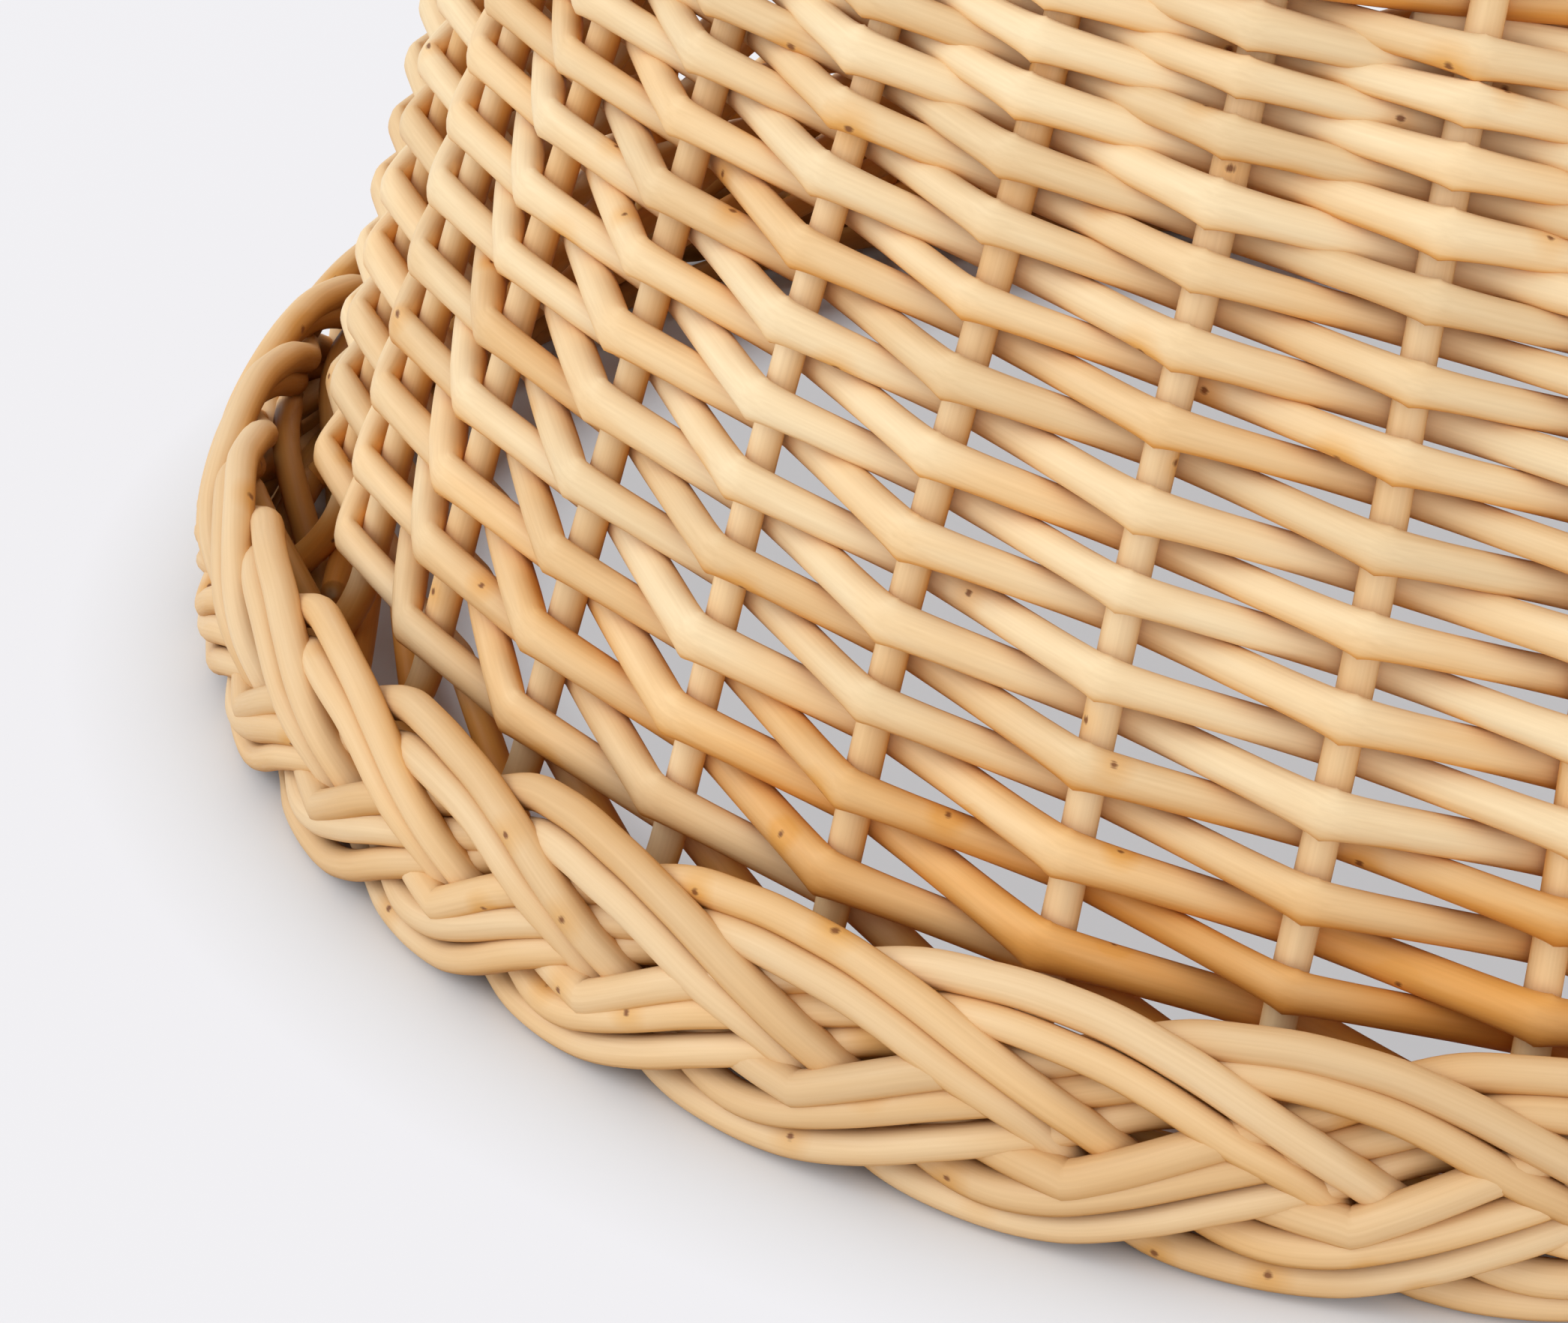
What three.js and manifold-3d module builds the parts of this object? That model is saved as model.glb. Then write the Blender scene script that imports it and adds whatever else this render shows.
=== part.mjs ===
// A wicker cloche: a bell of peeled willow rods that stands on a plaited border and is lifted by a ring.
// Millimetres, +Z up. The origin is on the floor, at the middle of the border.
import * as THREE from "three";
import { mergeVertices } from "three/addons/utils/BufferGeometryUtils.js";
import Module from "manifold-3d";

const degrees = THREE.MathUtils.degToRad;
const TURN = 2 * Math.PI;
const UPRIGHT = new THREE.Vector3(0, 0, 1);

// Rods that press on each other in the real cloche keep this gap here.
const ROD_GAP = 0.35;

// Stakes: the upright rods, evenly spaced round the wall.
const STAKE_COUNT = 36;
const STAKE_DIAMETER = 4.6;
const STAKE_SIDES = 5;
const STAKE_FOOT_LEAN = degrees(50); // of the foot's end, where it is bent out to the border
const STAKE_FOOT_STOPS = [1, 2 / 3, 1 / 3, 0]; // where the foot bends, as shares of its length
const STAKE_STOPS = [1 / 3, 2 / 3, 1]; // where a stake bends, as shares of the wall and of the shoulder
const WALL_FOOT_RADIUS = 160; // to the middle of a stake at the lowest row
const WALL_FOOT_LEAN = degrees(11.5);
const WALL_TOP_LEAN = degrees(17);
const WALL_TWIST = degrees(3.2); // the weave pulls every stake sideways, from the border to the shoulder

// Weavers: as many as there are stakes, each dropping one row from stake to stake.
const TOP_ROW = 25; // odd rows pass outside the stakes and even rows inside
const WEAVER_FOOT_SIZE = 4.4;
const WEAVER_TOP_SIZE = 3.2;
const ROW_GAP_FOOT = 1.5;
const ROW_GAP_TOP = 0.5;
const WEAVER_TAIL = 0.3; // of the space between two stakes, how much the cut end crosses
const LOOP_SHARES = [0.25, 0.5, 0.75]; // bends of a rod folded round an upright, as shares of half a turn

// Shoulder and crown.
const SHOULDER_RADIUS = 20;
const CROWN_EDGE_SLOPE = degrees(12);
const STICK_DIAMETER = 4.4;
const STICK_SIDES = 6;
const LONG_STICKS = 3; // sticks that lie one way across the middle, split to let the others through
const CROSS_STICKS = 3;
const STICKS_OPEN_AT = 22; // from the middle of the crown to where the sticks fan out
const STICKS_SPREAD_AT = 32;
const SPOKE_STEPS = 3;
const CROWN_WEAVER_SIZE = 3.8;
const CROWN_ROUND_GAP = 1.4;
const CROWN_WEAVE_START = 36; // radius of the first round of weaving
const CROWN_MARGIN = 4.5; // at the crown's edge the weaving leaves the spokes and takes up the stakes

// Plaited border: three flat strands, one turn of the plait to every stake.
const PLAIT_STRANDS = 3;
const PLAIT_TILT = degrees(18); // of the flat of the plait, outwards from upright
const PLAIT_STANDOFF = 14.5; // from the stakes at the lowest row out to the plait's middle line
const PLAIT_OVER_FOOT = 5.8; // how far the plait's top edge stands above the lowest row
const PLAIT_SWING = 11.6; // from the plait's middle line to a strand's middle line at its turns
const STRAND_WIDTH = 9.2;
const STRAND_THICKNESS = 4.6;
const STRAND_STEPS = 10; // stations in one full swing of a strand
const STRAND_SNAP = 2; // how soon a strand changes from lying over to lying under
const CROSSING_SHARE = 1.1; // of the rise of a strand, what parts two strands where they cross
const REST_CUT = 0.8; // the underside is rubbed flat to this depth

// Lifting ring, passed round the crossed sticks in the middle of the crown.
const RING_RADIUS = 33;
const RING_THICKNESS = 7.2;
const RING_SIDES = 6;
const RING_STEPS = 24;

// Peeled willow, a little different in colour from piece to piece.
const STAKE_COLOR = 0xe6c08a;
const WEAVER_COLOR = 0xdcae72;
const BORDER_COLOR = 0xe9c590;
const CROWN_COLOR = 0xe0b67c;
const WILLOW_ROUGHNESS = 0.55;

const wasm = await Module();
wasm.setup();

const cloche = new THREE.Group();

function willow(color) {
  return new THREE.MeshStandardMaterial({ color, roughness: WILLOW_ROUGHNESS });
}

const stakeWillow = willow(STAKE_COLOR);
const weaverWillow = willow(WEAVER_COLOR);
const borderWillow = willow(BORDER_COLOR);
const crownWillow = willow(CROWN_COLOR);

function addPiece(name, geometry, material) {
  const mesh = new THREE.Mesh(geometry, material);
  mesh.name = name;
  cloche.add(mesh);
  return mesh;
}

// A round section with flat sides, as pairs of offsets from the middle of a rod.
function roundSection(diameter, sides) {
  return Array.from({ length: sides }, (_, side) => {
    const angle = (TURN * side) / sides;
    return [(diameter / 2) * Math.cos(angle), (diameter / 2) * Math.sin(angle)];
  });
}

function flatSection(width, thickness) {
  const w = width / 2;
  const t = thickness / 2;
  return [[w, t], [-w, t], [-w, -t], [w, -t]];
}

// Carries a section along stations, each a point, a reference direction and a section. The section's second
// offset lies along the reference direction, squared to the rod.
function sweepRod(stations, closed = false) {
  const count = stations.length;
  const sides = stations[0].section.length;
  const positions = [];
  stations.forEach(({ point, reference, section }, i) => {
    const before = stations[closed ? (i + count - 1) % count : Math.max(i - 1, 0)].point;
    const after = stations[closed ? (i + 1) % count : Math.min(i + 1, count - 1)].point;
    const ahead = after.clone().sub(before).normalize();
    const second = reference.clone().addScaledVector(ahead, -reference.dot(ahead)).normalize();
    const first = second.clone().cross(ahead);
    section.forEach(([a, b]) => {
      positions.push(...point.clone().addScaledVector(first, a).addScaledVector(second, b));
    });
  });
  const index = [];
  const lengths = closed ? count : count - 1;
  for (let i = 0; i < lengths; i++) {
    const here = i * sides;
    const next = ((i + 1) % count) * sides;
    for (let a = 0; a < sides; a++) {
      const b = (a + 1) % sides;
      index.push(here + a, here + b, next + b, here + a, next + b, next + a);
    }
  }
  if (!closed) {
    const last = (count - 1) * sides;
    for (let a = 1; a < sides - 1; a++) {
      index.push(0, a + 1, a, last, last + a, last + a + 1);
    }
  }
  const geometry = new THREE.BufferGeometry();
  geometry.setAttribute("position", new THREE.Float32BufferAttribute(positions, 3));
  geometry.setIndex(index);
  geometry.computeVertexNormals();
  return geometry;
}

function solidOf(geometry) {
  const bare = geometry.clone();
  bare.deleteAttribute("normal");
  bare.deleteAttribute("uv");
  const merged = mergeVertices(bare);
  const vertProperties = merged.getAttribute("position").array;
  const triVerts = new Uint32Array(merged.getIndex().array);
  return new wasm.Manifold(new wasm.Mesh({ numProp: 3, vertProperties, triVerts }));
}

function geometryOf(solid) {
  const { vertProperties, triVerts } = solid.getMesh();
  const geometry = new THREE.BufferGeometry();
  geometry.setAttribute("position", new THREE.BufferAttribute(vertProperties, 3));
  geometry.setIndex(new THREE.BufferAttribute(triVerts, 1));
  geometry.computeVertexNormals();
  return geometry;
}

// Border: where its plait stands, from the floor up.
const stepAngle = TURN / STAKE_COUNT;
const plaitHalfWidth = PLAIT_SWING + STRAND_WIDTH / 2;
const plaitEdgeDepth = (STRAND_THICKNESS / 2) * Math.sin(PLAIT_TILT);
const plaitHeight = plaitHalfWidth * Math.cos(PLAIT_TILT) + plaitEdgeDepth - REST_CUT;
const plaitTop = plaitHeight + plaitHalfWidth * Math.cos(PLAIT_TILT) + plaitEdgeDepth;
const plaitRise = (STRAND_THICKNESS + ROD_GAP) / CROSSING_SHARE;

// Wall: the rows' places along the wall, measured up it from the middle of the lowest row.
const loopRow = TOP_ROW + 1;
const rowPitchFoot = WEAVER_FOOT_SIZE + ROW_GAP_FOOT;
const rowPitchTop = WEAVER_TOP_SIZE + ROW_GAP_TOP;
const rowRun = (row) => rowPitchFoot * row + ((rowPitchTop - rowPitchFoot) * row * row) / (2 * loopRow);
const weaverSize = (row) => THREE.MathUtils.lerp(WEAVER_FOOT_SIZE, WEAVER_TOP_SIZE, row / loopRow);

// The outline is four arcs that run into each other: foot, wall, shoulder and crown. On each, the lean from
// upright changes at a steady rate along the run, which is negative on the foot.
function arcFrom(start, endLean, length) {
  const bend = (endLean - start.lean) / length;
  const at = (run) => {
    const lean = start.lean + bend * run;
    const radius = start.radius - (Math.cos(start.lean) - Math.cos(lean)) / bend;
    const height = start.height + (Math.sin(lean) - Math.sin(start.lean)) / bend;
    return { radius, height, lean };
  };
  return { at, end: at(length), length };
}

const wallFoot = { radius: WALL_FOOT_RADIUS, height: plaitTop - PLAIT_OVER_FOOT, lean: WALL_FOOT_LEAN };
const wall = arcFrom(wallFoot, WALL_TOP_LEAN, rowRun(loopRow) + rowPitchTop);
const footReach = PLAIT_STANDOFF - plaitRise - STRAND_THICKNESS / 2 - ROD_GAP;
const footBend = footReach / (Math.cos(WALL_FOOT_LEAN) - Math.cos(STAKE_FOOT_LEAN));
const footLength = footBend * (STAKE_FOOT_LEAN - WALL_FOOT_LEAN);
const foot = arcFrom(wallFoot, STAKE_FOOT_LEAN, -footLength);
const crownLean = Math.PI / 2 - CROWN_EDGE_SLOPE;
const shoulder = arcFrom(wall.end, crownLean, SHOULDER_RADIUS * (crownLean - WALL_TOP_LEAN));
const crownRadius = shoulder.end.radius / Math.sin(CROWN_EDGE_SLOPE);
const crown = arcFrom(shoulder.end, Math.PI / 2, crownRadius * CROWN_EDGE_SLOPE);
const crownEdgeRun = wall.length + shoulder.length;

function outlineAt(run) {
  if (run < 0) return foot.at(run);
  if (run <= wall.length) return wall.at(run);
  if (run <= crownEdgeRun) return shoulder.at(run - wall.length);
  return crown.at(run - crownEdgeRun);
}

// The point of the outline at a run and an angle, with the directions outwards, along the run and sideways.
function placeAt(run, angle) {
  const { radius, height, lean } = outlineAt(run);
  const cos = Math.cos(angle);
  const sin = Math.sin(angle);
  return {
    point: new THREE.Vector3(radius * cos, radius * sin, height),
    outward: new THREE.Vector3(Math.cos(lean) * cos, Math.cos(lean) * sin, Math.sin(lean)),
    upward: new THREE.Vector3(-Math.sin(lean) * cos, -Math.sin(lean) * sin, Math.cos(lean)),
    sideways: new THREE.Vector3(-sin, cos, 0),
  };
}

const stakeAngle = (stake, run) => stepAngle * stake + WALL_TWIST * Math.min(run / wall.length, 1);

// How far the middle of a rod lies from the upright that it passes, so that it clears it where it is bent.
function passingReach(uprightDiameter, size, spacing) {
  const square = (uprightDiameter + size) / 2 + ROD_GAP;
  return square / Math.sqrt(1 - ((2 * square) / spacing) ** 2);
}

// A station of a rod that goes round an upright: swung 0 is outside, half a turn is inside.
function passing(run, angle, uprightDiameter, size, spacing, swung) {
  const { point, outward, upward, sideways } = placeAt(run, angle);
  const reach = passingReach(uprightDiameter, size, spacing);
  point.addScaledVector(outward, reach * Math.cos(swung));
  point.addScaledVector(sideways, -reach * Math.sin(swung));
  return { point, reference: upward, section: flatSection(size, size) };
}

const INSIDE = Math.PI;
const OUTSIDE = 0;
const loopSwings = LOOP_SHARES.map((share) => share * INSIDE);

// Stakes: each comes in from the border, is bent over at the shoulder and ends at the crown's edge.
function makeStake(stake) {
  const footStops = STAKE_FOOT_STOPS.map((share) => -share * footLength);
  const wallStops = STAKE_STOPS.map((share) => share * wall.length);
  const shoulderStops = STAKE_STOPS.map((share) => wall.length + share * shoulder.length);
  const section = roundSection(STAKE_DIAMETER, STAKE_SIDES);
  const stations = [...footStops, ...wallStops, ...shoulderStops].map((run) => {
    const { point, outward } = placeAt(run, stakeAngle(stake, run));
    return { point, reference: outward, section };
  });
  addPiece(`stake_${stake + 1}`, sweepRod(stations), stakeWillow);
}

for (let stake = 0; stake < STAKE_COUNT; stake++) makeStake(stake);

// Weavers: each rod is folded round a stake under the shoulder and both halves are worked down the wall.
function wallPassing(stake, row, swung) {
  const run = rowRun(row);
  const spacing = outlineAt(run).radius * stepAngle;
  return passing(run, stakeAngle(stake, run), STAKE_DIAMETER, weaverSize(row), spacing, swung);
}

function weaverHalf(weaver) {
  const tail = wallPassing(weaver + WEAVER_TAIL, -WEAVER_TAIL, INSIDE);
  const rows = Array.from({ length: loopRow }, (_, row) => {
    return wallPassing(weaver - row, row, row % 2 ? OUTSIDE : INSIDE);
  });
  return [tail, ...rows];
}

function makeWeaver(pair) {
  const first = 2 * pair;
  const loopStake = first - TOP_ROW;
  const loop = loopSwings.map((swung) => {
    return wallPassing(loopStake, TOP_ROW + swung / Math.PI, swung);
  });
  const behind = wallPassing(loopStake, loopRow, INSIDE);
  const stations = [...weaverHalf(first), ...loop, behind, ...weaverHalf(first + 1).reverse()];
  addPiece(`weaver_${pair + 1}`, sweepRod(stations), weaverWillow);
}

for (let pair = 0; pair < STAKE_COUNT / 2; pair++) makeWeaver(pair);

// Crown sticks: two sets crossed in the middle, then fanned out into spokes between the pairs of stakes.
const spokeCount = 2 * (LONG_STICKS + CROSS_STICKS);
const spokeAngle = TURN / spokeCount;
const stakesPerSpoke = STAKE_COUNT / spokeCount;
const crownTurn = stakeAngle((stakesPerSpoke - 1) / 2, wall.length);
const stickPitch = STICK_DIAMETER + ROD_GAP;
const runAtRadius = (radius) => crownEdgeRun + crown.length - crownRadius * Math.asin(radius / crownRadius);

const slathHeight = outlineAt(runAtRadius(STICKS_OPEN_AT)).height;

// A point of a stick over x and y, on the crown's curve or, in the middle, on the flat of the crossing.
function stickPoint(x, y) {
  const radius = Math.hypot(x, y);
  const angle = Math.atan2(y, x) + crownTurn;
  const onCurve = outlineAt(runAtRadius(radius)).height;
  const height = radius < STICKS_SPREAD_AT ? slathHeight : onCurve;
  return new THREE.Vector3(radius * Math.cos(angle), radius * Math.sin(angle), height);
}

// One stick, from the end of its spoke on one side to its end on the other, in a set that lies along heading.
function makeStick(place, heading) {
  const across = place * stickPitch;
  const opened = place * spokeAngle;
  const edge = shoulder.end.radius - CROWN_MARGIN - CROWN_WEAVER_SIZE / 2 - ROD_GAP;
  const spoke = Array.from({ length: SPOKE_STEPS + 1 }, (_, i) => {
    const radius = THREE.MathUtils.lerp(edge, STICKS_SPREAD_AT, i / SPOKE_STEPS);
    return [radius * Math.cos(opened), radius * Math.sin(opened)];
  });
  const halfRoute = [...spoke, [STICKS_OPEN_AT, across]];
  const otherHalf = halfRoute.map(([x, y]) => [-x, y]).reverse();
  const section = roundSection(STICK_DIAMETER, STICK_SIDES);
  const stations = [...halfRoute, ...otherHalf].map(([x, y]) => {
    const turnedX = x * Math.cos(heading) - y * Math.sin(heading);
    const turnedY = x * Math.sin(heading) + y * Math.cos(heading);
    return { point: stickPoint(turnedX, turnedY), reference: UPRIGHT, section };
  });
  return sweepRod(stations);
}

function stickSet(count, heading) {
  return Array.from({ length: count }, (_, i) => makeStick(i - (count - 1) / 2, heading));
}

const sticks = [...stickSet(LONG_STICKS, 0), ...stickSet(CROSS_STICKS, Math.PI / 2)].map(solidOf);
const slath = sticks.reduce((joined, stick) => joined.add(stick));
addPiece("crown_sticks", geometryOf(slath), crownWillow);

// Crown weave: one rod folded round a spoke, its halves worked round as a pair. Each round lies level and
// steps out to the next, over the crown to its edge and on down the shoulder, where it passes the stakes.
const weaveStartRun = runAtRadius(CROWN_WEAVE_START);
const weaveEndRun = wall.length + (CROWN_WEAVER_SIZE - WEAVER_TOP_SIZE) / 2;
const lastRound = Math.floor((weaveStartRun - weaveEndRun) / (CROWN_WEAVER_SIZE + CROWN_ROUND_GAP));
const roundRun = (round) => THREE.MathUtils.lerp(weaveStartRun, weaveEndRun, round / lastRound);

function crownPassing(run, steps, onCrown, swung) {
  const spacing = outlineAt(run).radius * stepAngle * (onCrown ? stakesPerSpoke : 1);
  const diameter = onCrown ? STICK_DIAMETER : STAKE_DIAMETER;
  const start = onCrown ? crownTurn : stakeAngle(0, wall.length);
  return passing(run, start + stepAngle * steps, diameter, CROWN_WEAVER_SIZE, spacing, swung);
}

function crownHalf(half) {
  const stations = [];
  for (let round = half; round <= lastRound; round += 2) {
    const run = roundRun(round);
    const onCrown = run > crownEdgeRun + CROWN_MARGIN;
    const stride = onCrown ? stakesPerSpoke : 1;
    const firstInside = onCrown ? half : 1 - half; // keeps the step to the shoulder clear of a stake's end
    for (let steps = 0; steps < STAKE_COUNT; steps += stride) {
      const outside = (steps / stride + firstInside) % 2 === 0;
      stations.push(crownPassing(run, steps, onCrown, outside ? OUTSIDE : INSIDE));
    }
  }
  return stations;
}

const crownLoop = loopSwings.map((swung) => crownPassing(roundRun(swung / Math.PI), 0, true, swung));
const crownStations = [...crownHalf(0).reverse(), ...crownLoop, ...crownHalf(1)];
addPiece("crown_weave", sweepRod(crownStations), crownWillow);

// Border: flat strands that swing from edge to edge of the plait, over and under each other in turn.
const plaitRadius = WALL_FOOT_RADIUS + PLAIT_STANDOFF;
const plaitSwings = STAKE_COUNT / PLAIT_STRANDS;

function strandStation(strand, swings) {
  const angle = stakeAngle(strand + PLAIT_STRANDS * swings, -footLength);
  const across = -PLAIT_SWING * Math.cos(TURN * swings);
  const over = (plaitRise * Math.tanh(STRAND_SNAP * Math.sin(2 * TURN * swings))) / Math.tanh(STRAND_SNAP);
  const radius = plaitRadius + across * Math.sin(PLAIT_TILT) + over * Math.cos(PLAIT_TILT);
  const height = plaitHeight - across * Math.cos(PLAIT_TILT) + over * Math.sin(PLAIT_TILT);
  const cos = Math.cos(angle);
  const sin = Math.sin(angle);
  return {
    point: new THREE.Vector3(radius * cos, radius * sin, height),
    reference: new THREE.Vector3(cos, sin, Math.tan(PLAIT_TILT)),
    section: flatSection(STRAND_WIDTH, STRAND_THICKNESS),
  };
}

const floorReach = 2 * (plaitRadius + plaitHalfWidth + STRAND_WIDTH);
const belowFloor = new THREE.BoxGeometry(floorReach, floorReach, plaitHeight);
const floorCut = solidOf(belowFloor.translate(0, 0, -plaitHeight / 2));

for (let strand = 0; strand < PLAIT_STRANDS; strand++) {
  const stations = Array.from({ length: plaitSwings * STRAND_STEPS }, (_, i) => {
    return strandStation(strand, i / STRAND_STEPS);
  });
  const rubbed = solidOf(sweepRod(stations, true)).subtract(floorCut);
  addPiece(`border_strand_${strand + 1}`, geometryOf(rubbed), borderWillow);
}

// Lifting ring: it stands up through the crown and passes close under the crossed sticks.
const stickDepth = (STICK_DIAMETER / 2) * Math.cos(Math.PI / STICK_SIDES);
const stickHalfFlat = (STICK_DIAMETER / 2) * Math.sin(Math.PI / STICK_SIDES);
const slathReach = (count) => ((count - 1) / 2) * stickPitch + stickHalfFlat;
const slathCorner = Math.hypot(slathReach(LONG_STICKS), slathReach(CROSS_STICKS));
const ringHeading = Math.atan2(slathReach(LONG_STICKS), slathReach(CROSS_STICKS));
const ringInside = (RING_RADIUS - RING_THICKNESS / 2) * Math.cos(Math.PI / RING_STEPS) - ROD_GAP;
const ringHeight = slathHeight - stickDepth + Math.sqrt(ringInside ** 2 - slathCorner ** 2);
const ringGeometry = new THREE.TorusGeometry(RING_RADIUS, RING_THICKNESS / 2, RING_SIDES, RING_STEPS);
const ring = addPiece("lifting_ring", ringGeometry, borderWillow);
ring.position.z = ringHeight;
ring.rotation.set(Math.PI / 2, 0, ringHeading + crownTurn, "ZYX");

export default cloche;
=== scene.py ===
"""A wicker cloche: a bell of peeled willow on a plaited border. Metres, +Z up, sizes below in millimetres."""

import bpy
import numpy as np
from mathutils import Matrix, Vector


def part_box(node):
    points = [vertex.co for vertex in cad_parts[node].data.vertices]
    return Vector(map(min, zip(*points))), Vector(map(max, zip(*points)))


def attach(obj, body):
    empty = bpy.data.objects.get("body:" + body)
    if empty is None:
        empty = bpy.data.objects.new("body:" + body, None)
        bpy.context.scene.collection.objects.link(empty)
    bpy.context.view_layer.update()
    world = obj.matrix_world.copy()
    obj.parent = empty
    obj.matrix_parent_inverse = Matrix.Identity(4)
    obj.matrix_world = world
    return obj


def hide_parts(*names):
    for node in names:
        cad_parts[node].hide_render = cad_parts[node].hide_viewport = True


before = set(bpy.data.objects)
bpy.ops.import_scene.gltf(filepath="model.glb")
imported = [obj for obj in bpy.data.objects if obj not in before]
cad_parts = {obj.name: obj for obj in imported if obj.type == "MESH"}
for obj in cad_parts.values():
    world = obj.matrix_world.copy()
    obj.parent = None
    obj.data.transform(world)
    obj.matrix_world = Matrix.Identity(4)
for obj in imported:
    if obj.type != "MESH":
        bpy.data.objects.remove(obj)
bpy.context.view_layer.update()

# Stakes. Thirty-six upright rods of peeled willow carry the weave. They were pushed in by hand, so they stand a little
# unevenly; they come in from the border, where their tails are plaited, and are bent over at the shoulder. Willow is
# worked wet and dries in place: round, satin smooth, with a fine grain along it and a scar where each bud sat.
MM = 0.001
FULL_TURN = 2 * np.pi
STAKES = 36
STEP = FULL_TURN / STAKES
SEED = 36
chance = np.random.default_rng(SEED)

# The outline of the bell, which the maker sets by the lean of the stakes
WALL_FOOT = (160.0, 25.64, np.radians(11.5))
FOOT_LEAN = np.radians(50)
FOOT_LENGTH = 14.65
WALL_TOP_LEAN = np.radians(17)
WALL_TWIST = np.radians(3.2)
SHOULDER_RADIUS = 20.0
CROWN_EDGE_SLOPE = np.radians(12)
LAST_ROW = 26
ROW_PITCH = (5.9, 3.7)


def evenly_tighter(row):
    """Height of a row along the wall: the pitch shrinks steadily from the foot to the last row."""
    return ROW_PITCH[0] * row + (ROW_PITCH[1] - ROW_PITCH[0]) * row ** 2 / (2 * LAST_ROW)


def arc(start, bend, run):
    """Radius, height and lean at a run along an arc whose lean changes by `bend` for each millimetre."""
    radius, height, lean = start
    now = lean + bend * run
    inwards = (np.cos(lean) - np.cos(now)) / bend
    upwards = (np.sin(now) - np.sin(lean)) / bend
    return np.stack([radius - inwards, height + upwards, now])


wall_length = evenly_tighter(LAST_ROW) + ROW_PITCH[1]
foot_bend = (WALL_FOOT[2] - FOOT_LEAN) / FOOT_LENGTH
wall_bend = (WALL_TOP_LEAN - WALL_FOOT[2]) / wall_length
wall_top = arc(WALL_FOOT, wall_bend, wall_length)
shoulder_length = SHOULDER_RADIUS * (np.pi / 2 - CROWN_EDGE_SLOPE - WALL_TOP_LEAN)
crown_edge = arc(wall_top, 1 / SHOULDER_RADIUS, shoulder_length)
crown_radius = crown_edge[0] / np.sin(CROWN_EDGE_SLOPE)
edge_run = wall_length + shoulder_length


def outline(run):
    """Radius, height and lean of the bell at a run up from the lowest row: wall, then shoulder, then crown, arcs that
    run into each other. Below that row the run is negative and follows the foot."""
    run = np.asarray(run, float)
    wall = np.where(run < 0, arc(WALL_FOOT, foot_bend, run), arc(WALL_FOOT, wall_bend, run))
    shoulder = arc(wall_top, 1 / SHOULDER_RADIUS, run - wall_length)
    crown = arc(crown_edge, 1 / crown_radius, run - edge_run)
    return np.where(run <= wall_length, wall, np.where(run <= edge_run, shoulder, crown))


def place(run, angle):
    """Points of the bell at runs and angles, with the directions outwards and sideways there."""
    radius, height, lean = outline(run)
    cos, sin = np.cos(angle), np.sin(angle)
    point = np.stack([radius * cos, radius * sin, height], -1)
    outward = np.stack([np.cos(lean) * cos, np.cos(lean) * sin, np.sin(lean)], -1)
    sideways = np.stack([-sin, cos, np.zeros_like(cos)], -1)
    return point, outward, sideways


# A rod, never quite even, and how rods are joined into a piece. A swell is a share of the thickness and a length
RING_POINTS = 16
SWELLS = ((0.018, 7), (0.02, 19))
OVAL = 0.02
OVAL_TWIST = 37
PRESS_WIDENS = 0.6
TIP_LENGTH = 0.25
# Painted shade: how far a rod's tint deepens on its sides turned away from a light taken to come from the front and
# above
PAINTED_LIGHT_LIFT = 0.8
PAINTED_SHADE_TINT = 1.7
PAINTED_SHADE_POWER = 1.5
GRAIN_STARTS = (0, 5000)
SKIN_UNIT = 100


def unit(vectors):
    return vectors / np.linalg.norm(vectors, axis=-1, keepdims=True)


def ring_faces(count):
    """Faces of a rod of `count` rings: quads from ring to ring, and triangles to the points at its two ends."""
    ring = np.arange(count - 1)[:, None] * RING_POINTS
    here = np.arange(RING_POINTS)
    onward = (here + 1) % RING_POINTS
    above = ring + RING_POINTS
    quads = np.stack([ring + here, ring + onward, above + onward, above + here], -1)
    last = (count - 1) * RING_POINTS
    end = np.full(RING_POINTS, count * RING_POINTS)
    caps = [np.stack([end, onward, here], -1), np.stack([end + 1, last + here, last + onward], -1)]
    return quads.reshape(-1, 4), np.concatenate(caps)


def laid_flat(far, reach, turn):
    """The rod's skin laid flat, corner by corner in the order of its faces: length one way, girth the other."""
    girth = np.concatenate([(turn - np.pi) * reach, FULL_TURN * reach[:, :1]], 1)
    sheet = np.stack([np.broadcast_to(far, girth.shape), girth], -1)
    low, high = sheet[:-1], sheet[1:]
    quads = np.stack([low[:, :-1], low[:, 1:], high[:, 1:], high[:, :-1]], 2)
    return quads.reshape(-1, 2), np.repeat(sheet[[0, -1], 0], 3 * RING_POINTS, 0)


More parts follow.
